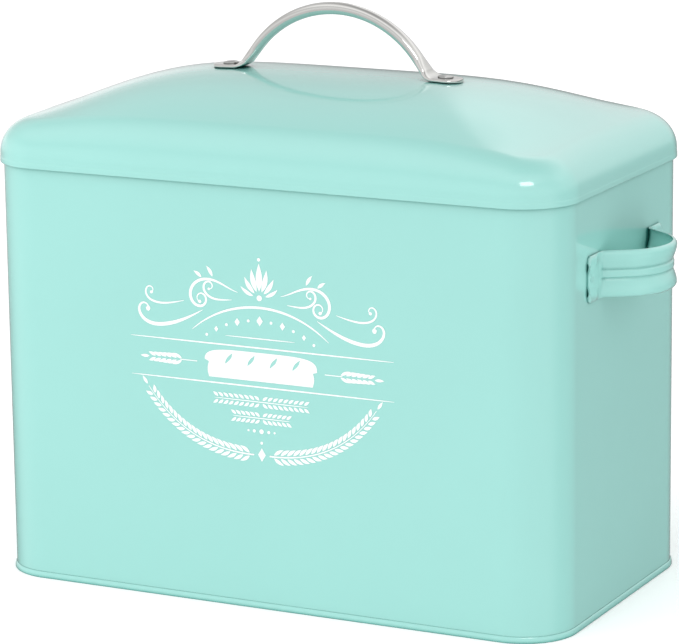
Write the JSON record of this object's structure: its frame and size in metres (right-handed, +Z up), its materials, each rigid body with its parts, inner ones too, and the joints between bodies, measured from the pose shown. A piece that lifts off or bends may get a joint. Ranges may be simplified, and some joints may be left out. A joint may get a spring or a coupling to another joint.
{
  "type": "bread box with lift-off lid",
  "caption": "Upright rounded-rectangle sheet-steel bread box with a lift-off domed lid, an arched riveted lid handle and a ribbed strap handle on each end.",
  "frame": {"origin": "centre of the underside, on the plane of the crimped ring that the box stands on", "axes": "+Z up, +X towards the right end handle, -Y towards the printed front"},
  "size_m": [0.3798, 0.1854, 0.3055],
  "materials": {
    "paint": "gloss mint enamel",
    "handle_chrome": "polished nickel chrome",
    "rivet": "polished",
    "washer": "plain zinc",
    "print": "white printed ink"
  },
  "bodies": {
    "box": {"body_wall": "paint", "base_pan": "paint", "side_handle_right": "paint", "side_handle_left": "paint"},
    "lid": {"lid_shell": "paint", "lid_handle": "handle_chrome", "lid_rivet_right": "rivet", "lid_rivet_left": "rivet", "lid_washer_right": "washer", "lid_washer_left": "washer"}
  },
  "joints": [
    {"name": "lid_lift", "type": "slide", "parent": "box", "child": "lid", "axis": [0, 0, 1], "range_m": [0, 0.15]}
  ]
}
